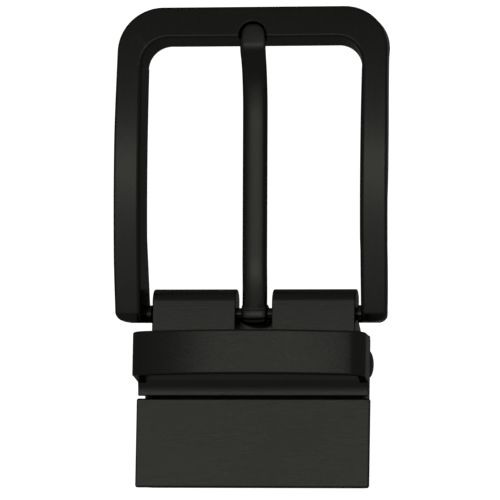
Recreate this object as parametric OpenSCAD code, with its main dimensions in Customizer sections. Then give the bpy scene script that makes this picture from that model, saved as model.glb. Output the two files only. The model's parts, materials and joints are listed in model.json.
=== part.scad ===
// Clamp-on belt buckle for a 35 mm dress strap.
// It lies on the back of its clamp: +X across the strap, +Y towards the top bar, +Z away from the
// wearer. Modules are drawn with Y = 0 on the hinge axle and Z = 0 on the clamp's back; placed()
// then moves each one so that the origin is the bottom centre of the whole buckle.

/* [Frame] */
// Overall width of the frame
frame_w = 45.2; // [44:0.2:47]
// Width of the window that the strap passes through
window_w = 36; // [35.4:0.2:36.4]
// Distance from the hinge axle to the top edge of the frame
frame_reach = 49.8; // [46:0.2:54]
// Width of the top bar
bar_w = 5.2; // [4.8:0.1:5.8]
// Thickness of the frame, front to back
frame_t = 4; // [3.6:0.1:4.4]
// Radius of the lengthwise arch of the frame's face
arch_r = 143; // [120:1:170]
// Distance from the axle to the highest point of the arch
arch_y = 30.2; // [28:0.2:32]
// Height of the arch's highest point above the clamp's back
arch_z = 13.6; // [13.2:0.1:14]
// Radius of the frame's outer corners
outer_corner_r = 6.6; // [5:0.2:8]
// Radius of the window's corners
inner_corner_r = 3.8; // [2.6:0.2:4.6]

/* [Hinge] */
// Height of the hinge axle above the clamp's back
axle_z = 5.3; // [5.2:0.1:5.5]
// Diameter of the hinge axle
axle_d = 2; // [1.8:0.1:2.1]
// Width over both clamp knuckles
knuckle_w = 33.6; // [33:0.2:34]
// Gap between the knuckles, where the prong turns
knuckle_gap = 6; // [5.8:0.1:6.6]
// Distance that the knuckles reach past the axle
knuckle_reach = 4.1; // [3.6:0.1:4.6]
// Thickness of the knuckles, front to back
knuckle_t = 4.2; // [4:0.1:4.4]

/* [Prong] */
// Width of the prong's shaft
prong_w = 4; // [3.6:0.1:4.2]
// Thickness of the prong's shaft
prong_t = 3; // [2.6:0.1:3.2]
// Angle at which the shaft rises from the axle
prong_rise = 4.5; // [4.3:0.1:4.7]

/* [Clamp] */
// Width of the clamp lid and of the strip above it
clamp_w = 38.6; // [38.2:0.1:38.8]
// Distance from the hinge axle to the clamp's open end
clamp_reach = 28.5; // [26:0.5:31]
// Height of the lid's face above the clamp's back
clamp_h = 6.4; // [6.4:0.05:6.6]
// Thickness of the lid and of the strip
lid_t = 1.1; // [1:0.05:1.15]
// Width of the strap that the clamp grips
strap_w = 35; // [34.6:0.1:35.1]
// Number of gripping teeth under the lid
tooth_count = 11; // [5:1:15]

/* [Keeper] */
// Height of the keeper's band, along the strap
keeper_w = 7.2; // [6:0.1:7.4]
// Height of the band's crown above the clamp's back
keeper_h = 16; // [15.6:0.1:17]
// Radius of the band's crown
keeper_r = 60; // [56:1:80]
// Thickness of the band and legs
keeper_t = 1.4; // [1.2:0.1:1.5]

/* [Hidden] */
$fn = 64;

metal = [0.13, 0.13, 0.125];
dark_metal = [0.08, 0.08, 0.078];
pin_metal = [0.22, 0.22, 0.215];

arc_fn = 720;
cut = 0.5;
run_gap = 0.05;
axle_r = axle_d / 2;
bore_r = axle_r + run_gap;
origin_y = -(frame_reach - clamp_reach) / 2;

rail_w = (frame_w - window_w) / 2;
lug_r = 1.45;
lug_back_y = 8;
tip_y = frame_reach - 2.8;
notch_r = 2.35;
notch_depth = 2.5;

knuckle_front = axle_z - 0.1 + knuckle_t / 2;
knuckle_back = knuckle_front - knuckle_t;
knuckle_step_y = -3.4;
web_top_y = -0.9;

eye_r = 1.95;
eye_w = 4.9;
bend_y = 33.3;
crest_y = 43.9;
tip_t = 1.9;
tip_z = 12.15;

plate_t = 0.9;
wall_t = 0.65;
slot_w = strap_w + 0.3;
body_w = slot_w + 2 * wall_t;
lid_back = clamp_h - lid_t;
wall_top = lid_back - 0.2;
block_w = slot_w - 2.7;
block_end_y = -9;
lid_top_y = -14.1;
pivot_y = lid_top_y - 0.75;
pivot_z = clamp_h - 1.4;
pivot_r = 0.5;
ear_r = 0.95;
lid_swing_r = 1.7;
barrel_r = 1;
strip_end_y = lid_top_y + 0.55;

keeper_top_y = -3.6;
keeper_bottom_y = keeper_top_y - keeper_w;
tab_t = 1;
tab_gap = 0.05;
rivet_y = -8;
rivet_z = 2.7;
rivet_r = 0.9;
head_r = 2.3;
head_h = 0.95;

// Height of the frame's face at distance y from the axle
function face_z(y) = arch_z - arch_r + sqrt(pow(arch_r, 2) - pow(y - arch_y, 2));
// Tilt of the frame's face at distance y from the axle
function face_tilt(y) = asin((y - arch_y) / arch_r);

module placed() { translate([0, origin_y, 0]) children(); }

// A cylinder along X, centred on X = 0
module across(r, length) { rotate([0, 90, 0]) cylinder(r = r, h = length, center = true); }

// A side profile, drawn with Y across and Z up, extruded along X and centred on X = 0
module side_extrude(length) {
    rotate([90, 0, 90]) linear_extrude(height = length, center = true) children();
}

// A copy on each side of the centre plane
module both_sides() {
    children();
    mirror([1, 0, 0]) children();
}

// Rounded-top outline of width w, hanging down from Y = 0
module arch_outline(w, length, r) {
    translate([-w / 2, -length]) square([w, length - r]);
    translate([-w / 2 + r, -length]) square([w - 2 * r, length]);
    for (side = [-1, 1]) translate([side * (w / 2 - r), -r]) circle(r);
}

// Everything under the arched face, down to depth t
module arched_slab(t) {
    translate([0, arch_y, arch_z - arch_r]) difference() {
        rotate([0, 90, 0]) cylinder(r = arch_r, h = frame_w, center = true, $fn = arc_fn);
        rotate([0, 90, 0]) cylinder(r = arch_r - t, h = frame_w + 1, center = true, $fn = arc_fn);
    }
}

// The frame's lower ends reach back to the axle and end in a round nose
module lug_profile() {
    translate([0, axle_z]) circle(lug_r);
    polygon([[-lug_r, axle_z], [-lug_r, face_z(0) - 1.2], [-0.5, face_z(0) - 0.25],
        [lug_back_y, face_z(lug_back_y) - frame_t / 2], [lug_back_y, face_z(lug_back_y) - frame_t],
        [lug_r * 0.85, axle_z - lug_r * 0.52]]);
}

module frame() {
    color(metal) placed() difference() {
        union() {
            intersection() {
                arched_slab(frame_t);
                translate([0, frame_reach, face_z(frame_reach)]) rotate([-face_tilt(frame_reach), 0, 0])
                    translate([0, 0, -20]) linear_extrude(height = 40)
                        arch_outline(frame_w, frame_reach + 10, outer_corner_r);
                translate([-frame_w, -0.5, 0]) cube([2 * frame_w, 2 * frame_reach, 30]);
            }
            both_sides() translate([(frame_w - rail_w) / 2, 0, 0]) side_extrude(rail_w) lug_profile();
        }
        translate([0, frame_reach - bar_w, face_z(frame_reach - bar_w)])
            rotate([-face_tilt(frame_reach - bar_w), 0, 0]) translate([0, 0, -20])
                linear_extrude(height = 40) arch_outline(window_w, frame_reach + 10, inner_corner_r);
        tip_notch();
        translate([0, 0, axle_z]) across(axle_r, frame_w + 1);
    }
}

// Round-ended recess in the top bar where the prong's tip lies
module tip_notch() {
    notch_y = tip_y + 0.3 - notch_r;
    floor_z = face_z(tip_y) - notch_depth;
    translate([0, notch_y, floor_z]) cylinder(r = notch_r, h = 2 * notch_depth);
    translate([-notch_r, notch_y - 5, floor_z]) cube([2 * notch_r, 5, 2 * notch_depth]);
}

module hinge_axle() {
    end_inset = 0.3;
    chamfer = 0.3;
    straight = frame_w - 2 * (end_inset + chamfer);
    color(pin_metal) placed() translate([0, 0, axle_z]) {
        across(axle_r, straight);
        both_sides() translate([straight / 2, 0, 0]) rotate([0, 90, 0])
            cylinder(r1 = axle_r, r2 = axle_r - chamfer, h = chamfer);
    }
}

// One washer on each side, between the knuckle's end and the frame's rail
module axle_washers() {
    inner_x = knuckle_w / 2 + 0.2;
    outer_x = window_w / 2;
    color(pin_metal) placed() both_sides() translate([inner_x, 0, axle_z]) rotate([0, 90, 0])
        difference() {
            cylinder(r = lug_r, h = outer_x - inner_x);
            translate([0, 0, -cut]) cylinder(r = axle_r, h = outer_x - inner_x + 2 * cut);
        }
}

// Side profile of the prong: a straight rising shaft, a ramp, and a level tip
module prong_profile() {
    root_z = axle_z + 1.8;
    shaft_z = root_z + bend_y * tan(prong_rise);
    ramp_y = (bend_y + crest_y) / 2 + 1;
    ramp_z = shaft_z + (ramp_y - bend_y) * tan(13);
    polygon([[0, root_z], [bend_y, shaft_z], [ramp_y, ramp_z], [crest_y, tip_z + 0.3], [tip_y, tip_z],
        [tip_y, tip_z - tip_t + 0.5], [tip_y - 1, tip_z - tip_t + 0.1], [crest_y, tip_z - tip_t + 0.1],
        [ramp_y, ramp_z - prong_t], [bend_y, shaft_z - prong_t], [0, root_z - prong_t]]);
}

module prong() {
    color(metal) placed() difference() {
        union() {
            intersection() {
                side_extrude(2 * prong_w) prong_profile();
                union() {
                    translate([-prong_w / 2, 0, 0]) cube([prong_w, tip_y - prong_w / 2, 20]);
                    translate([0, tip_y - prong_w / 2, 0]) cylinder(r = prong_w / 2, h = 20);
                }
            }
            translate([0, 0, axle_z]) across(eye_r, eye_w);
        }
        translate([0, 0, axle_z]) across(bore_r, eye_w + 1);
    }
}

// Side profile of a knuckle: a round-topped lug that runs back into the clamp
module knuckle_profile() {
    round_r = knuckle_t / 2;
    centre_y = knuckle_reach - round_r;
    translate([centre_y, knuckle_back + round_r]) circle(round_r);
    polygon([[centre_y, knuckle_front], [knuckle_step_y, knuckle_front], [knuckle_step_y, wall_top],
        [block_end_y, wall_top], [block_end_y, 0], [-2.6, 0], [web_top_y, knuckle_back],
        [centre_y, knuckle_back]]);
}

module clamp_body() {
    lug_len = (knuckle_w - knuckle_gap) / 2;
    tray_len = clamp_reach - 0.4;
    color(dark_metal) placed() difference() {
        union() {
            translate([-body_w / 2, -tray_len, 0]) cube([body_w, tray_len + keeper_top_y, plate_t]);
            both_sides() translate([slot_w / 2, -tray_len, 0])
                cube([wall_t, tray_len + keeper_top_y, wall_top]);
            both_sides() translate([knuckle_w / 2 - lug_len / 2, 0, 0]) side_extrude(lug_len)
                knuckle_profile();
            translate([-block_w / 2, block_end_y, 0])
                cube([block_w, keeper_top_y - block_end_y, wall_top]);
            translate([-knuckle_gap / 2 - cut, keeper_top_y - cut, 0])
                cube([knuckle_gap + 2 * cut, web_top_y - keeper_top_y + cut, 2.6]);
            both_sides() translate([(slot_w + wall_t) / 2, pivot_y, pivot_z]) across(ear_r, wall_t);
        }
        translate([0, 0, axle_z]) across(bore_r, knuckle_w + 1);
        translate([0, pivot_y, pivot_z]) across(pivot_r, body_w + 1);
        translate([0, rivet_y, rivet_z]) both_sides() translate([body_w / 2, 0, 0])
            across(rivet_r, 2 * wall_t);
        tab_pocket();
        lid_edge_room();
    }
}

// Room in each side wall, beside its ear, for the lid's upper edge as the lid opens
module lid_edge_room() {
    difference() {
        intersection() {
            translate([0, pivot_y, pivot_z]) across(lid_swing_r, body_w + 1);
            translate([-body_w, pivot_y + 0.45, pivot_z - 0.8]) cube([2 * body_w, 2, clamp_h]);
        }
        translate([0, pivot_y, pivot_z]) across(ear_r, body_w + 2);
    }
}

// Room between the solid block and each side wall for the keeper's tabs
module tab_pocket() {
    both_sides() translate([block_w / 2, block_end_y - cut, plate_t])
        cube([(slot_w - block_w) / 2, keeper_top_y - block_end_y + 2 * cut, clamp_h]);
}

// Closed loop: crowned band, two legs and the strip that covers the clamp's upper end
module keeper() {
    tab_z = 1.2;
    tab_x = slot_w / 2 - tab_gap - tab_t;
    tab_y = keeper_bottom_y + 0.4;
    color(metal) placed() difference() {
        union() {
            translate([0, keeper_top_y, 0]) rotate([90, 0, 0]) linear_extrude(height = keeper_w)
                keeper_ring();
            side_extrude(clamp_w) strip_profile();
            both_sides() translate([tab_x, tab_y, tab_z])
                cube([tab_t, -3 - keeper_w / 4 - tab_y, lid_back - tab_z + 0.2]);
        }
        translate([0, pivot_y, pivot_z]) across(lid_swing_r, clamp_w + 1);
        translate([0, rivet_y, rivet_z]) across(rivet_r, slot_w);
    }
}

// Side profile of the strip: level with the lid at its lower edge, and a short ramp up to the plate
// under the band, which is level with the knuckles
module strip_profile() {
    plate_z = knuckle_front - 0.1;
    polygon([[strip_end_y, lid_back], [strip_end_y, clamp_h], [strip_end_y + 0.9, clamp_h + 0.1],
        [strip_end_y + 1.9, plate_z - 0.35], [keeper_bottom_y + 0.2, plate_z], [keeper_top_y, plate_z],
        [keeper_top_y, lid_back]]);
}

module keeper_ring() {
    shoulder_r = 2.4;
    reach = clamp_w / 2 - shoulder_r;
    shoulder_z = keeper_h - keeper_r + sqrt(pow(keeper_r - shoulder_r, 2) - pow(reach, 2));
    touch_x = reach * keeper_r / (keeper_r - shoulder_r);
    difference() {
        intersection() {
            translate([0, keeper_h - keeper_r]) circle(keeper_r, $fn = arc_fn);
            union() {
                translate([-clamp_w / 2, lid_back]) square([clamp_w, shoulder_z - lid_back]);
                translate([-touch_x, lid_back]) square([2 * touch_x, keeper_h]);
                for (side = [-1, 1]) translate([side * reach, shoulder_z]) circle(shoulder_r);
            }
        }
        intersection() {
            translate([0, keeper_h - keeper_r]) circle(keeper_r - keeper_t, $fn = arc_fn);
            translate([-clamp_w / 2 + keeper_t, clamp_h])
                square([clamp_w - 2 * keeper_t, keeper_h]);
        }
    }
}

// One domed rivet through each side wall into the keeper's tab
module keeper_rivets() {
    shank_x = slot_w / 2 - tab_gap - tab_t;
    color(pin_metal) placed() both_sides() translate([shank_x, rivet_y, rivet_z]) rotate([0, 90, 0])
        rotate_extrude() rivet_profile(body_w / 2 - shank_x);
}

// Half section of a rivet: a straight shank under a low dome
module rivet_profile(shank) {
    dome_r = (pow(head_r, 2) + pow(head_h, 2)) / (2 * head_h);
    square([rivet_r, shank]);
    translate([0, shank]) intersection() {
        translate([0, head_h - dome_r]) circle(dome_r);
        square([head_r, head_h]);
    }
}

module clamp_lid() {
    front_round = 0.4;
    color(metal) placed() difference() {
        union() {
            translate([-clamp_w / 2, -clamp_reach, lid_back])
                cube([clamp_w, clamp_reach + lid_top_y - front_round, lid_t]);
            translate([-clamp_w / 2, -clamp_reach, lid_back])
                cube([clamp_w, clamp_reach + lid_top_y, lid_t - front_round]);
            translate([0, lid_top_y - front_round, clamp_h - front_round])
                across(front_round, clamp_w);
            translate([0, pivot_y, pivot_z]) across(barrel_r, slot_w - 0.3);
            grip_teeth();
        }
        translate([0, pivot_y, pivot_z]) across(pivot_r + run_gap, clamp_w + 1);
        both_sides() translate([body_w / 2 - wall_t / 2, pivot_y, pivot_z])
            across(ear_r + 0.1, wall_t + 0.3);
    }
}

// Row of wedge teeth under the lid's barrel; they bite the strap when the lid is shut
module grip_teeth() {
    tooth_w = 1.4;
    tooth_tip = 0.65;
    pitch = (slot_w - 5) / (tooth_count - 1);
    for (i = [0 : tooth_count - 1])
        translate([-(slot_w - 5) / 2 + i * pitch, pivot_y, pivot_z]) side_extrude(tooth_w)
            polygon([[-barrel_r, 0], [-0.6, -0.8], [0.15, -barrel_r - tooth_tip], [0.75, -0.66]]);
}

module lid_pin() {
    color(pin_metal) placed() translate([0, pivot_y, pivot_z]) across(pivot_r, body_w - 0.1);
}

frame();
hinge_axle();
axle_washers();
prong();
clamp_body();
keeper();
keeper_rivets();
clamp_lid();
lid_pin();
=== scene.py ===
"""Belt buckle: arched frame, prong, strap keeper and hinged clamp, all in satin black plating.

Sizes inside the shape functions are in millimetres, measured along Y from the hinge axle and along Z
from the clamp's back. `place` turns them into metres in the shared frame.
"""
import json
import math

import bpy
import numpy as np
from mathutils import Matrix, Vector


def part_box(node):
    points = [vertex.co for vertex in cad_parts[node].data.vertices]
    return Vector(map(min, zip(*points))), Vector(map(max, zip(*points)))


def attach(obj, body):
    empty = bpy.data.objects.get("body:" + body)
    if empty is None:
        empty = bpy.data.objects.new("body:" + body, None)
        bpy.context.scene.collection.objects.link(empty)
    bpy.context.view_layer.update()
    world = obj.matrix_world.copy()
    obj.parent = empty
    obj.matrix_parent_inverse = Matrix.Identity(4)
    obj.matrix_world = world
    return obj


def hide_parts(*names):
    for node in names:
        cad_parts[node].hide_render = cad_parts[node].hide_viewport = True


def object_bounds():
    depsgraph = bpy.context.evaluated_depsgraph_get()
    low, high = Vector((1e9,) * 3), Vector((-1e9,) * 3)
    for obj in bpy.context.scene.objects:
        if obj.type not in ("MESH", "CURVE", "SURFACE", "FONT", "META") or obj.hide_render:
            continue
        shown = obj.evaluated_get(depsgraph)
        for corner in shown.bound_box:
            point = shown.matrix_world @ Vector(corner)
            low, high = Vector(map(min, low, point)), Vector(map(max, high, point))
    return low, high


bl_info = {
    "name": "Belt buckle",
    "version": (1, 0, 0),
    "blender": (4, 5, 0),
    "location": "View3D > Sidebar > Buckle",
    "description": "Builds the black clamp buckle piece by piece around its packed frame",
    "category": "Mesh",
}

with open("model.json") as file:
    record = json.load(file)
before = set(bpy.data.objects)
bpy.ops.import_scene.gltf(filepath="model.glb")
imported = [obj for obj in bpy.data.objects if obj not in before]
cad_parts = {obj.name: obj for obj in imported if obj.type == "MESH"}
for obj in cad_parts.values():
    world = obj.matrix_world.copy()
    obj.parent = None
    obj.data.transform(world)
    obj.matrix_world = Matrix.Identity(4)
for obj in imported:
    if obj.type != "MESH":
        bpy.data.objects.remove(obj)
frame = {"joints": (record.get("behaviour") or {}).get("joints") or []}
CAD_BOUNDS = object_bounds()

MM = 0.001
JOINTS = {joint["name"]: joint for joint in frame["joints"]}
AXLE_Y, AXLE_Z = (value / MM for value in JOINTS["frame_swing"]["pos_m"][1:])
LID_Y, LID_Z = (value / MM for value in JOINTS["lid_open"]["pos_m"][1:])
LID_Y -= AXLE_Y


def node_box(name):
    """A node's lowest and highest corners in millimetres, with Y from the axle."""
    low, high = (np.array(corner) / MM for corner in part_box(name))
    return low - (0, AXLE_Y, 0), high - (0, AXLE_Y, 0)


_, FRAME_HIGH = node_box("frame")
KEEPER_LOW, KEEPER_HIGH = node_box("keeper")
LID_LOW, LID_HIGH = node_box("clamp_lid")
BODY_LOW, BODY_HIGH = node_box("clamp_body")
_, PRONG_HIGH = node_box("prong")

# Arch of the frame's face: its radius, and where its top lies
ARCH_R = 143.0
ARCH_Y = 30.2
ARCH_Z = float(FRAME_HIGH[2])

# Millimetres shared by neighbouring pieces
AXLE_R, AXLE_BORE_R = 1.0, 1.05
EYE_R = 1.95
LID_PIN_R, LID_BORE_R = 0.5, 0.55
FRAME_THICK = 4.0
LID_THICK = 1.1
PRONG_TIP_Y = float(PRONG_HIGH[1]) + 0.12
PRONG_FOOT_Y = 0.35
PRONG_THICK = 3.0


def mm_prop(name, description, default, low, high):
    """A length property given in millimetres and stored in metres."""
    return bpy.props.FloatProperty(
        name=name, description=description, default=default * MM, min=low * MM, max=high * MM,
        unit="LENGTH", precision=5)


def colour_prop(name, description, default):
    """A linear colour property."""
    return bpy.props.FloatVectorProperty(
        name=name, description=description, default=default, size=3, subtype="COLOR", min=0, max=1)


def share_prop(name, description, default):
    """A number from 0 to 1."""
    return bpy.props.FloatProperty(
        name=name, description=description, default=default, min=0, max=1, subtype="FACTOR")


class BuckleSizes(bpy.types.PropertyGroup):
    """Sizes that the CAD boxes don't give: roundings, drafts and small steps."""

    rail_inner: mm_prop(
        "Rail inner edge", "Distance of the rails' inner front edge from the centre", 18.26, 17.5, 18.5)
    window_draft: mm_prop(
        "Window draft", "How far the window narrows towards the back on each side", 0.70, 0, 0.8)
    outer_draft: mm_prop(
        "Outer draft", "How far the frame's outer wall leans in towards the back", 0.29, 0, 0.6)
    outer_corner: mm_prop("Outer corner", "Radius of the frame's outer top corners", 7.5, 3, 10)
    inner_corner: mm_prop("Inner corner", "Radius of the window's top corners", 4.4, 2, 6)
    edge_round: mm_prop("Edge rounding", "Rounding along the frame's front outer edge", 0.5, 0.2, 1)
    inner_round: mm_prop("Window edge rounding", "Rounding along the window's front edge", 0.7, 0.2, 1)
    bar_depth: mm_prop("Top bar", "Width of the top bar along the strap", 5.2, 4, 7)
    notch_half: mm_prop("Notch half width", "Half the width of the recess for the prong's tip", 2.28, 2.1, 3)
    notch_depth: mm_prop("Notch depth", "Depth of the recess for the prong's tip", 2.5, 1, 3)
    prong_width: mm_prop("Prong width", "Width of the prong's shaft", 4.2, 3.5, 4.4)
    prong_crown: mm_prop("Prong crown", "Radius of the prong's rounded front", 4.6, 3, 8)
    keeper_round: mm_prop("Keeper edge rounding", "Rounding along the keeper's edges", 0.3, 0.1, 0.5)
    lid_round: mm_prop("Lid edge rounding", "Rounding along the lid's edges", 0.25, 0.1, 0.4)
    knuckle_round: mm_prop("Knuckle edge rounding", "Rounding at the knuckles' ends", 0.2, 0.1, 0.5)


class BuckleFinish(bpy.types.PropertyGroup):
    """Colours and sheen of the plating, and the light around it."""

    plating: colour_prop("Plating", "Reflecting colour of the satin black plating", (0.0605, 0.0612, 0.0548))
    worn: colour_prop("Worn edge", "Reflecting colour where an edge is rubbed", (0.095, 0.094, 0.088))
    pin: colour_prop("Pins", "Reflecting colour of the pins and rivets", (0.065, 0.0645, 0.061))
    satin: share_prop("Satin roughness", "Roughness of the brushed faces", 0.25)
    smooth: share_prop("Smooth roughness", "Roughness of the pins and rivets", 0.24)
    floor: colour_prop("Floor", "Colour of the plain floor", (0.9, 0.9, 0.9))


def sizes():
    """The size settings, each turned into millimetres."""
    group = bpy.context.scene.buckle_sizes
    return {name: getattr(group, name) / MM for name in BuckleSizes.__annotations__}


# ---------------------------------------------------------------- surfaces


def face_height(y):
    """Height of the arched face: a circle of ARCH_R about a line across the strap, topped at ARCH_Y."""
    return ARCH_Z - ARCH_R + np.sqrt(ARCH_R ** 2 - (y - ARCH_Y) ** 2)


def smoothstep(low, high, value):
    """0 at low, 1 at high, held beyond them, and 3t^2 - 2t^3 between; it falls where low is above high."""
    t = np.clip((value - low) / (high - low), 0, 1)
    return t * t * (3 - 2 * t)


def place(points):
    """Millimetres from the axle and the clamp's back into metres in the shared frame."""
    return (points + (0, AXLE_Y, 0)) * MM


def loop_faces(rings, columns, close_rings=False):
    """Quads between neighbouring rings of a grid whose columns close on themselves."""
    last = rings if close_rings else rings - 1
    i, j = np.meshgrid(np.arange(last), np.arange(columns), indexing="ij")
    up, right = (i + 1) % rings, (j + 1) % columns
    return np.stack([i * columns + j, i * columns + right, up * columns + right, up * columns + j],
                    -1).reshape(-1, 4)


def signed_volume(points, faces):
    """Six times the volume that the quads enclose, positive when they face outwards."""
    a, b, c, d = (points[faces[:, k]] for k in range(4))
    return float((np.cross(b - a, c - a) * a).sum() + (np.cross(c - a, d - a) * a).sum())


class Shell:
    """Gathers closed parts of one piece, and writes them into one mesh."""

    def __init__(self):
        self.points, self.faces, self.count = [], [], 0

    def add(self, points, quads, caps=()):
        """Adds one closed part: grid quads, and caps as lists of point numbers."""
        outwards = signed_volume(points, quads) > 0
        quads = quads if outwards else quads[:, ::-1]
        caps = [list(cap) if outwards else list(cap)[::-1] for cap in caps]
        self.faces += (quads + self.count).tolist()
        self.faces += [[number + self.count for number in cap] for cap in caps]
        self.points.append(points)
        self.count += len(points)

    def sweep(self, grid):
        """Adds a closed section carried along a path, a row of the grid per step, both ends capped."""
        count, columns = grid.shape[:2]
        self.add(grid.reshape(-1, 3), loop_faces(count, columns),
                 [np.arange(columns)[::-1], np.arange(columns) + (count - 1) * columns])

    def make(self, name):
        """A smooth-shaded object at the origin, its place in its mesh."""
        mesh = bpy.data.meshes.new(name)
        mesh.from_pydata(place(np.concatenate(self.points)), [], self.faces)
        mesh.polygons.foreach_set("use_smooth", np.ones(len(mesh.polygons), bool))
        mesh.validate()
        mesh.update()
        piece = bpy.data.objects.new(name, mesh)
        bpy.context.scene.collection.objects.link(piece)
        return piece


def outline(corners, radii, steps=8, hold=0.06):
    """Rounded polygon: each corner is an arc tangent to both its sides.

    For a turn of angle a the arc starts r tan(a / 2) before the corner. A point just before and just
    after each arc keeps the flat sides flat. Returns the points and their outward normals.
    """
    corners = np.array(corners, float)
    radii = np.broadcast_to(np.array(radii, float), (len(corners),)).copy()
    area = 0.5 * np.sum(
        corners[:, 0] * np.roll(corners[:, 1], -1) - corners[:, 1] * np.roll(corners[:, 0], -1))
    if area < 0:
        corners, radii = corners[::-1], radii[::-1]
    before = corners - np.roll(corners, 1, 0)
    after = np.roll(corners, -1, 0) - corners
    before /= np.linalg.norm(before, axis=1, keepdims=True)
    after /= np.linalg.norm(after, axis=1, keepdims=True)
    turn = np.arctan2(before[:, 0] * after[:, 1] - before[:, 1] * after[:, 0], (before * after).sum(1))
    reach = radii * np.tan(np.abs(turn) / 2)
    start = corners - before * reach[:, None]
    first = np.arctan2(before[:, 1], before[:, 0]) - math.pi / 2
    side = np.sign(turn)
    centre = start - side[:, None] * radii[:, None] * np.stack([np.cos(first), np.sin(first)], 1)
    angle = first[:, None] + turn[:, None] * np.linspace(0, 1, steps + 1)[None]
    normal = np.stack([np.cos(angle), np.sin(angle)], -1)
    arc = centre[:, None] + (side * radii)[:, None, None] * normal
    head = arc[:, :1] - before[:, None] * hold
    tail = arc[:, -1:] + after[:, None] * hold
    points = np.concatenate([head, arc, tail], 1).reshape(-1, 2)
    normals = np.concatenate([normal[:, :1], normal, normal[:, -1:]], 1).reshape(-1, 2)
    return points, normals


def rim_levels(low, high, rim, steps=4, hold=0.06):
    """Insets and levels of the rings of a block whose two ends have quarter-round rims."""
    angle = np.linspace(0, math.pi / 2, steps + 1)
    inset = np.concatenate([[rim + hold], rim * (1 - np.sin(angle)), [0]])
    level = np.concatenate([[0], rim * (1 - np.cos(angle)), [rim + hold]])
    return np.concatenate([inset, inset[::-1]]), np.concatenate([low + level, (high - level)[::-1]])


def spread(flat, level, axis):
    """Plan points and their level as points in space; axis is the one that the level runs along."""
    first, second = flat[..., 0], flat[..., 1]
    level = np.broadcast_to(level, first.shape)
    order = {"x": (level, first, second), "y": (first, level, second), "z": (first, second, level)}
    return np.stack(order[axis], -1)


def block(shell, corners, radii, low, high, rim, axis, steps=8):
    """A rounded polygon carried along an axis, its two ends closed and their rims rounded."""
    points, normals = outline(corners, radii, steps)
    inset, level = rim_levels(low, high, rim)
    rings = points[None] - normals[None] * inset[:, None, None]
    shell.sweep(spread(rings, level[:, None], axis))


def pierced(shell, outer, inner, low, high, rim, axis, inner_rim=None):
    """A block with an opening: the section runs up the outer wall, across, down the opening and back.

    outer and inner are matching lists of points with their outward normals.
    """
    (outer_points, outer_normals), (inner_points, inner_normals) = outer, inner
    inner_rim = rim if inner_rim is None else inner_rim
    inset, level = rim_levels(low, high, rim)
    outside = outer_points[None] - outer_normals[None] * inset[:, None, None]
    inset_in, level_in = rim_levels(low, high, inner_rim)
    inside = inner_points[None] + inner_normals[None] * inset_in[::-1, None, None]
    grid = np.concatenate([spread(outside, level[:, None], axis),
                           spread(inside, level_in[::-1][:, None], axis)])
    count, columns = grid.shape[:2]
    shell.add(grid.reshape(-1, 3), loop_faces(count, columns, close_rings=True))


def circle_points(count, radius, centre=(0, 0), angles=None):
    """Points and outward normals of a circle."""
    angles = np.arange(count) * 2 * math.pi / count if angles is None else angles
    normal = np.stack([np.cos(angles), np.sin(angles)], -1)
    return np.array(centre) + radius * normal, normal


def squarish_circle(count, radius, centre, power):
    """Points and outward normals where |y|^power + |z|^power = radius^power."""
    angles = np.arange(count) * 2 * math.pi / count
    cos, sin = np.cos(angles), np.sin(angles)
    reach = (np.abs(cos) ** power + np.abs(sin) ** power) ** (-1 / power)
    points = radius * reach[:, None] * np.stack([cos, sin], -1)
    normals = np.sign(points) * np.abs(points) ** (power - 1)
    return np.array(centre) + points, normals / np.linalg.norm(normals, axis=1, keepdims=True)


def bore_for(points, centre, radius):
    """Circle points that face each outline point from the bore's centre."""
    away = points - np.array(centre)
    return circle_points(len(points), radius, centre, np.arctan2(away[:, 1], away[:, 0]))


def lathe(shell, profile, centre, columns=64, side=1):
    """A profile of (radius, x) turned about a line across the strap, its ends closed by small caps."""
    profile = np.array(profile, float)
    angle = np.arange(columns) * 2 * math.pi / columns
    ring = np.stack([np.cos(angle), np.sin(angle)], -1)
    flat = np.array(centre) + profile[:, None, :1] * ring[None]
    shell.sweep(spread(flat, side * profile[:, None, 1], "x"))


def chamfered_pin(shell, centre, radius, half_length, chamfer, columns=64):
    """A pin across the strap with a small chamfer and soft edges at both ends."""
    end = [(0.02, 0), (radius - chamfer - 0.05, 0), (radius - chamfer, 0.02), (radius - 0.03, chamfer - 0.03),
           (radius, chamfer + 0.02), (radius, chamfer + 0.1)]
    profile = [(r, -half_length + x) for r, x in end] + [(r, half_length - x) for r, x in end[::-1]]
    lathe(shell, profile, centre, columns)


# ---------------------------------------------------------------- materials


class Value:
    """A number that varies over a surface; Python's operators add the Math nodes."""

    def __init__(self, maker, socket):
        self.maker, self.socket = maker, socket

    def _join(self, operation, first, second):
        return self.maker.math(operation, first, second)

    def __add__(self, other):
        return self._join("ADD", self, other)

    __radd__ = __add__

    def __sub__(self, other):
        return self._join("SUBTRACT", self, other)

    def __rsub__(self, other):
        return self._join("SUBTRACT", other, self)

    def __mul__(self, other):
        return self._join("MULTIPLY", self, other)

    __rmul__ = __mul__


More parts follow.
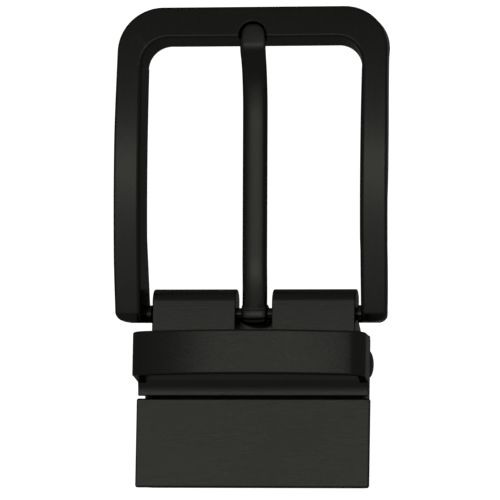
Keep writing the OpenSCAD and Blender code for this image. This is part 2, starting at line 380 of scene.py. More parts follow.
class Finish:
    """One material and its nodes."""

    def __init__(self, name):
        self.material = bpy.data.materials.new(name)
        self.material.use_nodes = True
        self.nodes = self.material.node_tree.nodes
        self.links = self.material.node_tree.links
        self.nodes.clear()
        self.output = self.nodes.new("ShaderNodeOutputMaterial")
        self.shader = self.nodes.new("ShaderNodeBsdfPrincipled")
        self.links.new(self.shader.outputs[0], self.output.inputs[0])

    def put(self, socket, value):
        """Links a value into a socket, or sets the socket's constant."""
        if isinstance(value, Value):
            value = value.socket
        if isinstance(value, bpy.types.NodeSocket):
            self.links.new(value, socket)
        elif isinstance(value, (tuple, list)) and len(value) == 3 and socket.type == "RGBA":
            socket.default_value = (*value, 1)
        else:
            socket.default_value = value

    def node(self, kind, settings=None, output=0, **sockets):
        """Adds a node: its settings first, then its sockets by name or, for Math, as a, b, c."""
        made = self.nodes.new(kind)
        for key, value in (settings or {}).items():
            setattr(made, key, value)
        for key, value in sockets.items():
            index = "abc".index(key) if key in ("a", "b", "c") else key.replace("_", " ")
            self.put(made.inputs[index], value)
        return Value(self, made.outputs[output])

    def math(self, operation, a, b=0.0):
        return self.node("ShaderNodeMath", {"operation": operation}, a=a, b=b)

    def where(self):
        """Object coordinates in metres."""
        return self.node("ShaderNodeTexCoord", output="Object")

    def stretched(self, vector, scale):
        """Coordinates stretched by a scale on each axis."""
        return self.node("ShaderNodeVectorMath", {"operation": "MULTIPLY"}, a=vector, b=scale)

    def noise(self, vector, scale, detail=2.0, roughness=0.5):
        return self.node("ShaderNodeTexNoise", Vector=vector, Scale=scale, Detail=detail, Roughness=roughness)

    def between(self, value, low, high, to_low=0.0, to_high=1.0):
        """Maps low..high to to_low..to_high, and clamps."""
        made = self.node("ShaderNodeMapRange", {"clamp": True}, Value=value)
        inputs = made.socket.node.inputs
        for name, number in (("From Min", low), ("From Max", high), ("To Min", to_low), ("To Max", to_high)):
            inputs[name].default_value = number
        return made

    def mix_colour(self, factor, first, second):
        made = self.nodes.new("ShaderNodeMix")
        made.data_type = "RGBA"
        self.put(made.inputs["Factor"], factor)
        self.put(made.inputs[6], first)
        self.put(made.inputs[7], second)
        return Value(self, made.outputs[2])


def brushed_metal(name, grain, comb, rough, colour, worn, edges=1.0):
    """Satin plating over brushed metal.

    Long fine streaks are noise stretched along the grain. Their slopes, of a size set by comb, spread
    reflections across the grain and leave them sharp along it. Wider streaks and slow clouds vary the
    colour and the sheen a little, and convex edges are rubbed brighter.
    grain is the axis that the brush ran along: 0 for X, 1 for Y.
    """
    finish = Finish(name)
    where = finish.where()
    hair, streak = [24000.0] * 3, [1500.0] * 3
    hair[grain], streak[grain] = 260.0, 30.0
    hairs = finish.noise(finish.stretched(where, tuple(hair)), 1.0, 1.0, 0.5)
    streaks = finish.noise(finish.stretched(where, tuple(streak)), 1.0, 3.0, 0.6)
    clouds = finish.noise(where, 90.0, 2.0, 0.5)
    pointed = finish.node("ShaderNodeNewGeometry", output="Pointiness")
    rubbed = finish.between(pointed, 0.54, 0.60, 0.0, 1.0)
    wear = rubbed * finish.between(streaks + clouds, 0.7, 1.2, 0.35, 1.0) * edges
    tone = finish.between(hairs * 0.5 + streaks * 0.5, 0.25, 0.75, 0.0, 1.0)
    low = tuple(channel * 0.90 for channel in colour)
    high = tuple(channel * 1.12 for channel in colour)
    base = finish.mix_colour(tone, low, high)
    finish.put(finish.shader.inputs["Base Color"], finish.mix_colour(wear, base, worn))
    sheen = rough + (streaks - 0.5) * 0.06 + (clouds - 0.5) * 0.05 + wear * -0.04
    finish.put(finish.shader.inputs["Roughness"], sheen)
    finish.shader.inputs["Metallic"].default_value = 1.0
    finish.shader.inputs["Specular Tint"].default_value = (0.6, 0.6, 0.6, 1)
    bump = finish.node("ShaderNodeBump", Height=hairs, Strength=1.0, Distance=comb * MM)
    finish.put(finish.shader.inputs["Normal"], bump)
    return finish.material


def finish_settings():
    """The finish settings, with colours as plain tuples."""
    group = bpy.context.scene.buckle_finish
    return {name: (tuple(value) if hasattr(value, "__len__") else value)
            for name in BuckleFinish.__annotations__ for value in [getattr(group, name)]}


def metal(name):
    """The named plating, made once."""
    if name in bpy.data.materials:
        return bpy.data.materials[name]
    look = finish_settings()
    recipes = {
        "satin_black_along": dict(
            grain=1, comb=0.010, rough=look["satin"], colour=look["plating"], worn=look["worn"]),
        "satin_black_across": dict(
            grain=0, comb=0.005, rough=look["satin"] + 0.02, colour=look["plating"], worn=look["worn"]),
        "black_nickel_pins": dict(
            grain=0, comb=0.004, rough=look["smooth"], colour=look["pin"], worn=look["worn"]),
    }
    return brushed_metal(name, **recipes[name])


def finish_piece(piece, material, body, slot_name, *nodes):
    """Gives a piece its plating, its body and the nodes it stands for; slot_name is not used."""
    piece.data.materials.append(metal(material))
    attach(piece, body)
    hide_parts(*nodes)


# ---------------------------------------------------------------- the frame


def frame_path(size):
    """Plan outlines of the frame's front edge, outer and inner, point for point.

    The path runs up the left rail, round the top and down the right rail. The outer one is a straight
    line, a quarter circle of the outer corner radius and the top edge; the inner one the same with the
    window's. Rows crowd at the lower ends and columns at the notch.
    """
    top, bottom = float(FRAME_HIGH[1]) + 0.06, -1.45
    widest = float(FRAME_HIGH[0]) - 0.01
    half = widest - 0.2
    r_out, r_in = size["outer_corner"], size["inner_corner"]
    inner_top = top - size["bar_depth"] + 0.05
    end = bottom + 3.0 * (1 - np.cos(np.linspace(0, math.pi / 2, 25)))
    rail_y = np.concatenate([end[:-1], np.linspace(end[-1], top - r_out - 1.0, 60)])
    corner = np.linspace(0, 1, 33)
    notch = size["notch_half"]
    waist = 0.2 * smoothstep(26, 44, rail_y) + 0.12 * smoothstep(9, -1, rail_y)
    side = -np.concatenate([
        np.linspace(half - r_out, 6.0, 14)[1:-1], np.linspace(6.0, notch + 0.35, 10)[:-1],
        np.linspace(notch + 0.35, notch - 0.5, 24), np.linspace(notch - 0.5, 0, 34)[1:]])
    outer_left = np.concatenate([
        np.stack([waist - widest, rail_y], -1),
        np.stack([-half + r_out - r_out * np.cos(corner * math.pi / 2),
                  top - r_out + r_out * np.sin(corner * math.pi / 2)], -1),
        np.stack([side, np.full_like(side, top)], -1)])
    inner_half = size["rail_inner"]
    # the inner outline keeps step with the outer one up to even_y and even_x, then is squeezed to fit
    even_y, even_x = 30, 6.0
    squeeze_y = (rail_y - even_y) * (inner_top - r_in - even_y) / (rail_y.max() - even_y)
    rail_in = np.where(rail_y < even_y, rail_y, even_y + squeeze_y)
    turn = half - r_out
    squeeze_x = (-side - even_x) * (inner_half - r_in - even_x) / (turn - even_x)
    side_in = np.where(-side > even_x, -(even_x + squeeze_x), side)
    inner_left = np.concatenate([
        np.stack([np.full_like(rail_y, -inner_half), rail_in], -1),
        np.stack([-inner_half + r_in - r_in * np.cos(corner * math.pi / 2),
                  inner_top - r_in + r_in * np.sin(corner * math.pi / 2)], -1),
        np.stack([side_in, np.full_like(side_in, inner_top)], -1)])
    mirror = np.array([-1, 1])
    outer = np.concatenate([outer_left, (outer_left * mirror)[:-1][::-1]])
    inner = np.concatenate([inner_left, (inner_left * mirror)[:-1][::-1]])
    return outer, inner


def frame_section(size):
    """The frame's section as shares across the rail, insets and depths, one closed loop.

    Front edges are quarter circles of the edge roundings, back edges smaller ones. share runs from 0 at
    the window to 1 outside; away is the distance kept from that edge; deep is the share of thickness.
    """
    round_out, round_in, back = size["edge_round"], size["inner_round"], 0.3
    thick = FRAME_THICK
    quarter = np.linspace(0, 1, 9) * math.pi / 2
    rows = []
    # front face, from the window to the outside
    rows += [(0, round_in * (1 - np.sin(a)), round_in * (1 - np.cos(a))) for a in quarter[::-1]]
    rows += [(0, round_in + 0.05, 0)]
    rows += [(t, 0, 0) for t in np.linspace(0.18, 0.86, 64)]
    rows += [(1, round_out + 0.05, 0)]
    rows += [(1, round_out * (1 - np.sin(a)), round_out * (1 - np.cos(a))) for a in quarter]
    # outer wall, back face and window wall
    rows += [(1, 0, d) for d in np.linspace(round_out + 0.05, thick - back - 0.05, 6)]
    rows += [(1, back * (1 - np.cos(a)), thick - back * (1 - np.sin(a))) for a in quarter[::2]]
    rows += [(t, 0, thick) for t in np.linspace(0.9, 0.1, 10)]
    rows += [(0, 0.15 * (1 - np.sin(a)), thick - 0.15 * (1 - np.cos(a))) for a in quarter[::2]]
    rows += [(0, 0, d) for d in np.linspace(thick - 0.2, round_in + 0.05, 6)]
    return np.array(rows)


def notch_fall(x, y, face, size):
    """Depth of the tip's recess below a face: the distance inside a round-ended slot, made a steep wall.

    A short gentle lead-in makes the rim catch light; the wall then falls to the flat floor.
    """
    half = size["notch_half"]
    top = float(PRONG_HIGH[1]) + 0.27
    depth = face - (face_height(top) - size["notch_depth"])
    centre_y = top - half
    away = np.hypot(x, np.maximum(y - centre_y, 0))
    inside = half - away
    lead = 0.10 * smoothstep(-0.22, 0.02, inside)
    wall = (depth - 0.10) * smoothstep(-0.01, 0.12, inside)
    return lead + wall


def build_frame(size):
    """The frame: its section loop carried along the U-shaped path and laid on the arch.

    A point sits between the inner and outer outlines by its share across the rail, moved inwards by
    its inset. Its height is the arched face's, less its depth; walls lean by the drafts as they go
    back. Near the lower ends the back drops to a round nose about the axle.
    """
    shell = Shell()
    outer, inner = frame_path(size)
    section = frame_section(size)
    share, inset, depth = (section[:, k][None, :, None] for k in range(3))
    across = outer - inner
    width = np.linalg.norm(across, axis=1, keepdims=True)
    unit = across / width
    tight = 1 - 0.5 * unit[:, 1][:, None, None] ** 2
    window_edge = (share == 0) & (depth < 1.0)
    inset = np.where(window_edge, inset * tight, inset)
    depth = np.where(window_edge, depth * tight, depth) * np.ones_like(inset)
    plan = inner[:, None] + across[:, None] * share
    move = np.where(share > 0.5, -inset, inset) * np.where((share == 0) | (share == 1), 1, 0)
    plan = plan + unit[:, None] * move
    lean_out = -size["outer_draft"] * (depth / FRAME_THICK) * (share > 0.95)
    lean_in = -size["window_draft"] * (depth / FRAME_THICK) * (share < 0.05)
    plan = plan + unit[:, None] * (lean_out + lean_in)
    heading = np.gradient(outer, axis=0)
    heading /= np.linalg.norm(heading, axis=1, keepdims=True)
    turned = np.abs(heading[:, 0] * heading[:, 1]) * 2
    plan = plan + unit[:, None] * (0.6 * turned[:, None, None] * (depth / FRAME_THICK) * (share > 0.95))
    x, y = plan[..., 0].copy(), plan[..., 1].copy()
    deep = np.broadcast_to(depth[..., 0], x.shape)
    # outer lower corner of each rail is rounded in plan
    bottom, corner = outer[0, 1], 1.35
    short = np.clip(bottom + corner - y, 0, corner)
    pull = (corner - np.sqrt(np.maximum(corner ** 2 - short ** 2, 0))) * 0.85
    x = np.sign(x) * (np.abs(x) - pull * smoothstep(0.5, 1.0, np.broadcast_to(share[..., 0], x.shape)))
    # the face, its edge at the lower end, and the nose
    front = face_height(y)
    slope_y, nose_r = -0.5, 1.45
    front = np.where(y < slope_y, front - (slope_y - y), front)
    flat_back = face_height(y) - FRAME_THICK
    join_y, nose_end, nose_top = 12.0, 1.23, 4.55
    climb = face_height(join_y) - FRAME_THICK - nose_top
    low_line = nose_top + (y - nose_end) * climb / (join_y - nose_end)
    nose = AXLE_Z - np.sqrt(np.maximum(nose_r ** 2 - np.clip(y, -nose_r, nose_r) ** 2, 0))
    back = np.where(y > join_y, flat_back, np.where(y > nose_end, low_line, nose))
    thickness = front - back
    # depths below the front edge's rounding are stretched to the local thickness
    edge = 0.9
    keep = np.minimum(deep, edge)
    stretched = (deep - keep) * (thickness - keep) / (FRAME_THICK - keep)
    z = np.where(deep < edge, front - deep, front - keep - stretched)
    # below the face's own thickness the lower ends narrow towards the axle
    below = np.maximum(front - z - 2.3, 0) * (1 - smoothstep(10, 24, y))
    outside = smoothstep(0.0, 1.0, np.broadcast_to(share[..., 0], x.shape))
    taper = 0.22 + 0.12 * (1 - smoothstep(0, 8, y))
    x = np.sign(x) * (np.abs(x) - taper * below * outside)
    # depth runs square to the arch at the top bar
    tilt = (y - ARCH_Y) / ARCH_R * smoothstep(28, 42, y)
    y = y - (front - z) * np.sin(tilt)
    z = np.where(deep < 1.0, z - notch_fall(x, y, z, size) * smoothstep(0.9, 0.75, deep), z)
    grid = np.stack([x, y, z], -1)
    shell.sweep(grid)
    return shell


class BUCKLE_OT_frame(bpy.types.Operator):
    """Builds the arched frame with its round-ended notch"""
    bl_idname = "buckle.frame"
    bl_label = "Frame"

    def execute(self, context):
        piece = build_frame(sizes()).make("arched_frame")
        finish_piece(piece, "satin_black_along", "frame", "frame_metal", "frame")
        return {"FINISHED"}


# ---------------------------------------------------------------- the prong


def prong_path():
    """Top and bottom of the prong against distance along the strap.

    The slope is given in degrees and summed into a height. It dips just past the eye, rises evenly
    along the shaft, steepens on the ramp into the notch, levels over a crest and droops at the tip.
    """
    tip = PRONG_TIP_Y
    y = np.concatenate([np.linspace(PRONG_FOOT_Y, 31, 90), np.linspace(31, 45, 90)[1:],
                        tip - (tip - 45) * np.cos(np.linspace(0, math.pi / 2, 50)[1:])])
    fine = np.linspace(-1, 48, 2000)
    degrees = 4.5 - 7.95 * (1 - smoothstep(1.0, 10.5, fine)) + 27 * np.clip((fine - 31) / 10.2, 0, 1) ** 2
    degrees = degrees * (1 - smoothstep(41.5, 44.0, fine)) - 2 * smoothstep(43.4, 46.8, fine)
    slope = np.tan(np.radians(degrees))
    rise = np.concatenate([[0], np.cumsum((slope[1:] + slope[:-1]) / 2 * np.diff(fine))])
    top = np.interp(y, fine, rise) - np.interp(PRONG_FOOT_Y, fine, rise) + AXLE_Z + 1.93
    thick = PRONG_THICK - 1.4 * smoothstep(35, 43, y)
    over_bore = 1.85 - np.sqrt(np.maximum(1.08 ** 2 - y ** 2, 0)) + 4 * np.maximum(y - 1.08, 0)
    thick = np.minimum(thick, over_bore)
    return y, top, top - thick


def build_prong(size):
    """The prong: a D-shaped section carried along the side profile, and an eye around the axle.

    The front of the section is an arc of the crown radius with rounded shoulders. Towards the tip the
    half width follows a circle in plan, and the whole section closes on the tip.
    """
    shell = Shell()
    y, top, bottom = prong_path()
    half0 = size["prong_width"] / 2
    tip = PRONG_TIP_Y
    tip_r = half0 + 0.02
    along = np.clip(y - (tip - tip_r), 0, tip_r * 0.9999)
    half = half0 + 0.02 * smoothstep(38, 43, y)
    half = np.where(y > tip - tip_r, np.sqrt(np.maximum(tip_r ** 2 - along ** 2, 0)), half)
    half = np.maximum(half, 0.05)
    # one section: along the front, down the right side, along the back and up the left side
    crown = size["prong_crown"]
    shoulder = 0.75
    t = np.linspace(-1, 1, 41)
    # the front's drop is the crown's arc plus a rounded shoulder
    edge = np.clip((np.abs(t) * half0 - (half0 - shoulder)) / shoulder, 0, 1)
    drop = (crown - np.sqrt(crown ** 2 - (t * half0) ** 2)) + shoulder * 0.85 * (1 - np.sqrt(1 - edge ** 2))
    wall = np.ones(5)
    shape_x = np.concatenate([t, wall, [0.97, 0.9], np.linspace(0.8, -0.8, 7), [-0.9, -0.97], -wall])
    depth_share = np.linspace(0.03, 0.93, 5)
    y_grid = y[:, None]
    thick = (top - bottom)[:, None]
    scale_tip = np.clip(half / half0, 0, 1)[:, None]
    flat_tip = 1 - 0.45 * smoothstep(40.5, 44.0, y_grid)
    front_drop = drop[None] * np.minimum(1, thick / PRONG_THICK) * (0.2 + 0.8 * scale_tip) * flat_tip
    lip_z = front_drop[:, -1:]
    right = lip_z + (thick - lip_z) * depth_share[None]
    back_soft = np.array([[0.97, 0.99]])
    back_mid = np.ones((1, 7))
    z_off = np.concatenate([front_drop, right, thick * back_soft, thick * back_mid,
                            thick * back_soft[:, ::-1], right[:, ::-1]], 1)
    narrow = 1 - 0.2 * smoothstep(0.25, 1.0, z_off / thick)
    x_grid = shape_x[None] * half[:, None] * narrow
    # the nose of the tip is rounded in height as well
    near = np.clip((y - (tip - 0.7)) / 0.7, 0, 1)[:, None]
    ball = 1 - np.sqrt(np.maximum(1 - near ** 2, 0))
    middle = thick * 0.4
    z_off = z_off + (middle - z_off) * ball * 0.6
    z_grid = top[:, None] - z_off
    grid = np.stack([x_grid, np.broadcast_to(y_grid, x_grid.shape), z_grid], -1)
    shell.sweep(grid)
    # the eye is a ring about the axle: its crowned outside, then back through the bore
    bore_r = AXLE_BORE_R
    ring = squarish_circle(96, EYE_R, (0, 0), 2.7)[0]
    reach = np.linalg.norm(ring, axis=1)
    aim = ring / reach[:, None]
    crowned = 0.55 * np.concatenate([[drop[0] + 0.1], drop, [drop[0] + 0.1]])
    across = np.concatenate([[-1], t, [1]]) * (half0 + 0.02)
    bore_x = np.linspace(half0 - 0.03, 0.03 - half0, 5)
    loop_x = np.concatenate([across, [half0 - 0.01], bore_x, [0.01 - half0]])
    radii = np.concatenate([reach[None] - crowned[:, None], np.full((1, len(reach)), bore_r + 0.02),
                            np.full((5, len(reach)), bore_r), np.full((1, len(reach)), bore_r + 0.02)])
    eye = np.stack([np.broadcast_to(loop_x[:, None], radii.shape), radii * aim[:, 0],
                    AXLE_Z + radii * aim[:, 1]], -1)
    shell.add(eye.reshape(-1, 3), loop_faces(*radii.shape, close_rings=True))
    # the shaft stands a little to the left of the axle's middle
    along_y = shell.points[0][:, 1]
    slant = 0.13 * smoothstep(1.0, 9.0, along_y) - 0.09 * smoothstep(36.0, 43.0, along_y)
    shell.points[0][:, 0] -= slant
    return shell


class BUCKLE_OT_prong(bpy.types.Operator):
    """Builds the prong with its eye around the axle"""
    bl_idname = "buckle.prong"
    bl_label = "Prong"

    def execute(self, context):
        piece = build_prong(sizes()).make("prong_bar")
        finish_piece(piece, "satin_black_along", "prong", "prong_metal", "prong")
        return {"FINISHED"}


# ---------------------------------------------------------------- axle and washers


class BUCKLE_OT_axle(bpy.types.Operator):
    """Builds the hinge axle and the two washers beside the rails"""
    bl_idname = "buckle.axle"
    bl_label = "Hinge axle and washers"

    def execute(self, context):
        shell = Shell()
        chamfered_pin(shell, (0, AXLE_Z), AXLE_R, float(FRAME_HIGH[0]) - 1.0, 0.25)
        finish_piece(shell.make("hinge_pin"), "black_nickel_pins", "frame", "pin_metal", "hinge_axle")
        inner_x, outer_x = 17.0, float(node_box("axle_washers")[1][0])
        shell = Shell()
        for side in (-1, 1):
            ends = sorted((side * inner_x, side * outer_x))
            ring = circle_points(64, 1.45, (0, AXLE_Z))
            bore = circle_points(64, AXLE_R, (0, AXLE_Z))
            pierced(shell, ring, bore, ends[0], ends[1], 0.18, "x", 0.03)
        finish_piece(shell.make("spacing_washers"), "black_nickel_pins", "frame", "pin_metal", "axle_washers")
        return {"FINISHED"}


# ---------------------------------------------------------------- the clamp


def build_knuckles(shell, size):
    """Two round-topped lugs with a bore: an outline in side view carried across, bored for the axle."""
    low_x, high_x = 3.0, 16.8
    corners = [(4.1, 3.1), (4.1, 7.3), (-3.42, 7.3), (-3.42, 0.03), (-2.6, 0.03), (-0.95, 3.1)]
    radii = [2.05, 2.08, 0.35, 0.05, 0.1, 0.3]
    points, normals = outline(corners, radii, 12)
    crowned = points[:, 1] > AXLE_Z
    points[:, 1] -= np.where(crowned, 0.012 * np.clip(points[:, 0] - 0.3, 0, 3.8) ** 2, 0)
    centre = (0, AXLE_Z)
    bore = bore_for(points, centre, AXLE_BORE_R)
    for side in (-1, 1):
        ends = sorted((side * low_x, side * high_x))
        pierced(shell, (points, normals), bore, ends[0], ends[1], size["knuckle_round"], "x", 0.03)


def build_tray(shell, size):
    """Back plate, side walls with their ears, the solid block and the web, each a rounded block."""
    body_half = float(BODY_HIGH[0])
    wall = body_half - 17.65
    low_y, high_y = float(BODY_LOW[1]), -3.62
    block(shell, [(-body_half, low_y), (body_half, low_y), (body_half, high_y), (-body_half, high_y)],
          0.7, 0.0, 0.9, 0.22, "z")
    wall_top, cut, ear = 5.1, 4.2, 0.95
    corners = [(low_y + 0.02, 0.05), (low_y + 0.02, wall_top), (LID_Y - ear, wall_top),
               (LID_Y - ear, LID_Z + ear), (LID_Y + ear, LID_Z + ear), (LID_Y + ear, cut),
               (LID_Y + 1.7, cut), (LID_Y + 1.7, wall_top), (high_y, wall_top), (high_y, 0.05)]
    radii = [0.3, 0.6, 0.04, 0.92, 0.92, 0.2, 0.2, 0.1, 0.1, 0.3]
    for side in (-1, 1):
        ends = sorted((side * (body_half - wall), side * body_half))
        block(shell, corners, radii, ends[0], ends[1], 0.1, "x")
    block(shell, [(-16.3, -9.0), (16.3, -9.0), (16.3, high_y), (-16.3, high_y)], 0.2, 0.5, wall_top, 0.1, "z")
    block(shell, [(-3.6, 0.02), (-3.6, 2.6), (-0.5, 2.6), (-2.4, 0.02)], [0.05, 0.05, 0.08, 0.1],
          -3.6, 3.6, 0.05, "x")


class BUCKLE_OT_clamp(bpy.types.Operator):
    """Builds the clamp body: knuckles, tray, ears and web"""
    bl_idname = "buckle.clamp"
    bl_label = "Clamp body"

    def execute(self, context):
        size = sizes()
        shell = Shell()
        build_knuckles(shell, size)
        build_tray(shell, size)
        finish_piece(shell.make("clamp_tray"), "satin_black_across", "clamp", "clamp_metal", "clamp_body")
        return {"FINISHED"}


def crown_outline(half, low, top, radius, shoulder, steps=40):
    """Closed outline of the keeper in front view: flat foot, upright legs, shoulders and crown.

    The crown is an arc of the crown radius; each shoulder is a quarter turn that meets it. Corners
    are walked in the same order for the outer and the inner outline, so their points match.
    """
    centre_z = top - radius
    reach = half - shoulder
    touch = np.arcsin(reach / (radius - shoulder))
    shoulder_z = centre_z + (radius - shoulder) * np.cos(touch)
    crown_angle = np.linspace(math.pi / 2 + touch, math.pi / 2 - touch, steps)
    crown = np.stack([radius * np.cos(crown_angle), centre_z + radius * np.sin(crown_angle)], -1)
    crown_normal = np.stack([np.cos(crown_angle), np.sin(crown_angle)], -1)
    turn = np.linspace(math.pi / 2 - touch, 0, 12)[1:]
    bend = np.stack([np.cos(turn), np.sin(turn)], -1)
    right = np.array([reach, shoulder_z]) + shoulder * bend
    foot_r = min(shoulder, 0.5)
    leg_z = np.array([shoulder_z - 0.1, low + foot_r + 0.1])
    leg = np.stack([np.full(2, half), leg_z], -1)
    leg_normal = np.tile([1.0, 0.0], (2, 1))
    foot_turn = np.linspace(0, -math.pi / 2, 8)
    foot_normal = np.stack([np.cos(foot_turn), np.sin(foot_turn)], -1)
    foot = np.array([half - foot_r, low + foot_r]) + foot_r * foot_normal
    floor_x = np.array([half - foot_r - 0.1, 0.0])
    floor = np.stack([floor_x, np.full(2, low)], -1)
    floor_normal = np.tile([0.0, -1.0], (2, 1))
    right_points = np.concatenate([right, leg, foot, floor])
    right_normals = np.concatenate([bend, leg_normal, foot_normal, floor_normal])
    mirror = np.array([-1, 1])
    points = np.concatenate([crown, right_points, (right_points * mirror)[:-1][::-1]])
    normals = np.concatenate([crown_normal, right_normals, (right_normals * mirror)[:-1][::-1]])
    return points, normals


def build_keeper(size):
    """The keeper: a crowned loop carried along the strap, with the covering strip and two tabs."""
    shell = Shell()
    half, top = float(KEEPER_HIGH[0]), float(KEEPER_HIGH[2])
    low_y, high_y = -10.8, -3.6
    thick, radius, floor = 1.4, 60.0, float(LID_HIGH[2])
    foot, shoulder, inner_shoulder = floor - 1.1, 3.2, 0.45
    outer = crown_outline(half, foot, top, radius, shoulder)
    inner = crown_outline(half - thick, floor, top - thick, radius - thick, inner_shoulder)
    pierced(shell, outer, inner, low_y, high_y, size["keeper_round"], "y", 0.2)
    ring = shell.points[-1]
    # the legs draw in towards their feet, and their lower edge flares along the strap
    draw_in = 0.22
    leg = 1 - smoothstep(foot, top - 2.5, ring[:, 2])
    ring[:, 0] -= np.sign(ring[:, 0]) * draw_in * leg * smoothstep(15, 18, np.abs(ring[:, 0]))
    flare = (1 - smoothstep(floor, floor + 2.6, ring[:, 2])) ** 2
    ring[:, 1] -= 0.75 * flare * smoothstep((low_y + high_y) / 2, low_y, ring[:, 1])
    half -= draw_in
    # the strip: a slope from its lower end up to the plate below the band
    strip_end, strip_z, plate_z = float(KEEPER_LOW[1]), 5.32, 7.2
    corners = [(LID_Y + 1.74, strip_z), (strip_end + 0.02, LID_Z + 1.12), (strip_end, floor),
               (strip_end + 1.1, floor + 0.03), (low_y - 0.2, plate_z - 0.3), (low_y + 1.2, plate_z),
               (high_y - 0.02, plate_z), (high_y - 0.02, strip_z)]
    block(shell, corners, [0.1, 0.05, 0.2, 4.0, 2.0, 1.2, 0.1, 0.1], -half, half, 0.18, "x")
    for side in (-1, 1):
        ends = sorted((side * 16.6, side * 17.55))
        block(shell, [(-10.4, 1.2), (-10.4, 5.6), (-5.2, 5.6), (-5.2, 1.2)], 0.3, ends[0], ends[1], 0.1, "x")
    return shell


class BUCKLE_OT_keeper(bpy.types.Operator):
    """Builds the crowned strap keeper with its strip and tabs"""
    bl_idname = "buckle.keeper"
    bl_label = "Keeper"

    def execute(self, context):
        piece = build_keeper(sizes()).make("strap_keeper")
        finish_piece(piece, "satin_black_across", "clamp", "keeper_metal", "keeper")
        return {"FINISHED"}


class BUCKLE_OT_rivets(bpy.types.Operator):
    """Builds the two domed rivets that hold the keeper"""
    bl_idname = "buckle.rivets"
    bl_label = "Keeper rivets"

    def execute(self, context):
        low, high = node_box("keeper_rivets")
        centre = ((low[1] + high[1]) / 2, (low[2] + high[2]) / 2)
        head_r, shank_r, shank_end = float(high[1] - low[1]) / 2, 0.9, 16.7
        seat, top = float(BODY_HIGH[0]), float(high[0])
        dome = top - seat
        share = np.linspace(0, 1, 18)
        head = [(head_r * math.cos(a * math.pi / 2) + 0.001,
                 seat + 0.08 + (dome - 0.09) * math.sin(a * math.pi / 2)) for a in share[:-1]]
        profile = [(0.02, shank_end), (shank_r, shank_end), (shank_r, seat - 0.05),
                   (head_r - 0.06, seat), (head_r, seat + 0.05)]
        profile += head + [(0.02, top - 0.01)]
        shell = Shell()
        for side in (-1, 1):
            lathe(shell, profile, centre, 64, side)
        finish_piece(shell.make("keeper_pins"), "black_nickel_pins", "clamp", "pin_metal", "keeper_rivets")
        return {"FINISHED"}


def build_lid(size):
    """The lid: a flat plate with a rounded upper edge, its hinge barrel and a row of wedge teeth."""
    shell = Shell()
    half = float(LID_HIGH[0])
    low_y, high_y = float(LID_LOW[1]), LID_Y + 0.92
    top, thick = float(LID_HIGH[2]), LID_THICK
    block(shell, [(-half, low_y), (half, low_y), (half, high_y), (-half, high_y)],
          [0.35, 0.45, 0.35, 0.35], top - thick, top, size["lid_round"], "z")
    ring = circle_points(64, 1.0, (LID_Y, LID_Z))
    bore = circle_points(64, LID_BORE_R, (LID_Y, LID_Z))
    barrel_half = 17.5
    pierced(shell, ring, bore, -barrel_half, barrel_half, 0.1, "x", 0.03)
    count, teeth_width = 11, 30.3
    pitch = teeth_width / (count - 1)
    for number in range(count):
        x = -teeth_width / 2 + number * pitch
        block(shell, [(LID_Y - 1.0, LID_Z), (LID_Y - 0.6, LID_Z - 0.8), (LID_Y + 0.15, LID_Z - 1.65),
                      (LID_Y + 0.75, LID_Z - 0.66), (LID_Y + 0.6, LID_Z - 0.1), (LID_Y - 0.6, LID_Z - 0.1)],
              [0.05, 0.05, 0.08, 0.05, 0.02, 0.02], x - 0.7, x + 0.7, 0.06, "x", 3)
    return shell


class BUCKLE_OT_lid(bpy.types.Operator):
    """Builds the clamp's lid and the pin it turns on"""
    bl_idname = "buckle.lid"
    bl_label = "Clamp lid"

    def execute(self, context):
        piece = build_lid(sizes()).make("grip_lid")
        finish_piece(piece, "satin_black_across", "lid", "lid_metal", "clamp_lid")
        shell = Shell()
        chamfered_pin(shell, (LID_Y, LID_Z), LID_PIN_R, 18.45, 0.1, 40)
        finish_piece(shell.make("lid_hinge_pin"), "black_nickel_pins", "clamp", "pin_metal", "lid_pin")
        return {"FINISHED"}


# ---------------------------------------------------------------- stage


def soft_panel(name, turn, lift, distance, half_turn, half_lift, radiance, target):
    """A soft upright panel that faces the target.

    turn and lift are the angles of its centre to the right and upwards; half_turn and half_lift are
    the half angles that it covers, and radiance is its even brightness.
    """
    towards = Vector((math.tan(math.radians(turn)), math.tan(math.radians(lift)), 1)).normalized()
    right = Vector((1, 0, 0))
    right = (right - towards * right.dot(towards)).normalized()
    up = towards.cross(right)
    data = bpy.data.lights.new(name, "AREA")
    data.shape = "RECTANGLE"
    data.size = 2 * distance * math.tan(math.radians(half_turn))
    data.size_y = 2 * distance * math.tan(math.radians(half_lift))
    data.energy = radiance * math.pi * data.size * data.size_y
    light = bpy.data.objects.new(name, data)
    bpy.context.scene.collection.objects.link(light)
    turned = Matrix((right, up, towards)).transposed().to_4x4()
    turned.translation = Vector(target) + towards * distance
    light.matrix_world = turned


def make_floor(colour, level):
    """A wide flat floor as a grid of squares, 6 metres each way."""
    count = 41
    along = np.linspace(-3.0, 3.0, count)
    x, y = np.meshgrid(along, along, indexing="ij")
    z = np.full_like(x, level)
    grid = np.stack([x, y, z], -1).reshape(-1, 3)
    i, j = np.meshgrid(np.arange(count - 1), np.arange(count - 1), indexing="ij")
    a = i * count + j
    quads = np.stack([a, a + count, a + count + 1, a + 1], -1).reshape(-1, 4)
    mesh = bpy.data.meshes.new("studio_floor")
    mesh.from_pydata(grid, [], quads.tolist())
    mesh.update()
    floor = bpy.data.objects.new("studio_floor", mesh)
    bpy.context.scene.collection.objects.link(floor)
    finish = Finish("pale_floor")
    finish.put(finish.shader.inputs["Base Color"], colour)
    finish.shader.inputs["Roughness"].default_value = 0.9
    finish.shader.inputs["Specular IOR Level"].default_value = 0.0
    finish.shader.inputs["Emission Color"].default_value = (1, 1, 1, 1)
    finish.shader.inputs["Emission Strength"].default_value = 1.05
    mesh.materials.append(finish.material)
    floor.visible_glossy = False


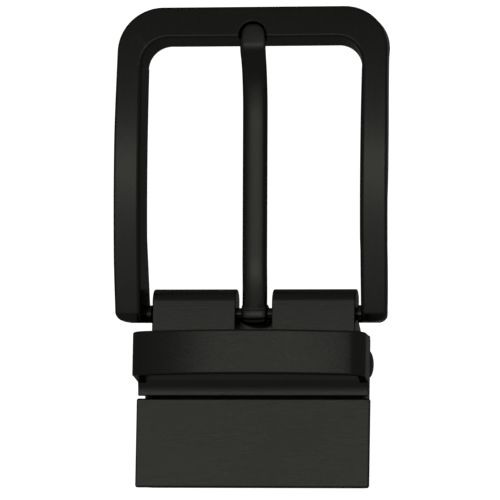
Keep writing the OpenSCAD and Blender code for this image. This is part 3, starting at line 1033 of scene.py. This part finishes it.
def make_camera():
    """A long lens that looks down the buckle's front, a little from its right and from below."""
    turn, lift, roll = math.radians(9.8), math.radians(6.68), math.radians(-0.981)
    distance, per_mm, picture_side = 1112.5 * MM, 6.12, 500
    away = Vector((math.sin(turn) * math.cos(lift), -math.sin(lift), math.cos(turn) * math.cos(lift)))
    right = Vector((math.cos(turn), 0, -math.sin(turn)))
    up = away.cross(right)
    right, up = (math.cos(roll) * right - math.sin(roll) * up, math.sin(roll) * right + math.cos(roll) * up)
    target = Vector((0, -0.964, 6.4)) * MM
    data = bpy.data.cameras.new("studio_camera")
    camera = bpy.data.objects.new("studio_camera", data)
    bpy.context.scene.collection.objects.link(camera)
    turned = Matrix((right, up, away)).transposed().to_4x4()
    turned.translation = target + away * distance
    camera.matrix_world = turned
    frame_width = picture_side / per_mm * MM
    data.sensor_width = 36.0
    data.lens = 36.0 * distance / frame_width
    data.shift_x, data.shift_y = -5.254 / picture_side, 4.439 / picture_side
    data.clip_start, data.clip_end = 0.01, 20.0
    data.dof.use_dof = False
    bpy.context.scene.camera = camera
    return target


class BUCKLE_OT_stage(bpy.types.Operator):
    """Builds the floor, the soft studio light and the camera"""
    bl_idname = "buckle.stage"
    bl_label = "Stage, light and camera"

    def execute(self, context):
        look = finish_settings()
        low = CAD_BOUNDS[0]
        make_floor(look["floor"], float(low[2]) - 0.0002)
        target = make_camera()
        soft_panel("front_panel", -1.3, 2.4, 1.5, 26, 2.6, 1.40, target)
        soft_panel("lower_fill", -4.0, -10.5, 1.5, 26, 8.5, 0.19, target)
        soft_panel("upper_fill", -1.3, 13.0, 1.5, 26, 7.0, 0.07, target)
        world = bpy.data.worlds.new("studio_air")
        world.use_nodes = True
        ground = world.node_tree.nodes["Background"]
        ground.inputs["Color"].default_value = (1, 1, 1, 1)
        ground.inputs["Strength"].default_value = 0.13
        context.scene.world = world
        context.scene.view_settings.view_transform = "Standard"
        return {"FINISHED"}


class BUCKLE_PT_panel(bpy.types.Panel):
    """Lists the buckle's pieces"""
    bl_label = "Belt buckle"
    bl_idname = "BUCKLE_PT_panel"
    bl_space_type = "VIEW_3D"
    bl_region_type = "UI"
    bl_category = "Buckle"

    def draw(self, context):
        for step in STEPS:
            self.layout.operator(step.bl_idname)
        for group in (context.scene.buckle_sizes, context.scene.buckle_finish):
            column = self.layout.column(align=True)
            for name in type(group).__annotations__:
                column.prop(group, name)


STEPS = (BUCKLE_OT_stage, BUCKLE_OT_frame, BUCKLE_OT_prong, BUCKLE_OT_axle, BUCKLE_OT_clamp,
         BUCKLE_OT_keeper, BUCKLE_OT_rivets, BUCKLE_OT_lid)
CLASSES = (BuckleSizes, BuckleFinish, *STEPS, BUCKLE_PT_panel)


def register():
    for kind in CLASSES:
        bpy.utils.register_class(kind)
    bpy.types.Scene.buckle_sizes = bpy.props.PointerProperty(type=BuckleSizes)
    bpy.types.Scene.buckle_finish = bpy.props.PointerProperty(type=BuckleFinish)


def unregister():
    del bpy.types.Scene.buckle_finish
    del bpy.types.Scene.buckle_sizes
    for kind in reversed(CLASSES):
        bpy.utils.unregister_class(kind)


def main():
    """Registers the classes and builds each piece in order."""
    register()
    for step in STEPS:
        group, name = step.bl_idname.split(".")
        getattr(getattr(bpy.ops, group), name)()


if __name__ == "__main__":
    main()
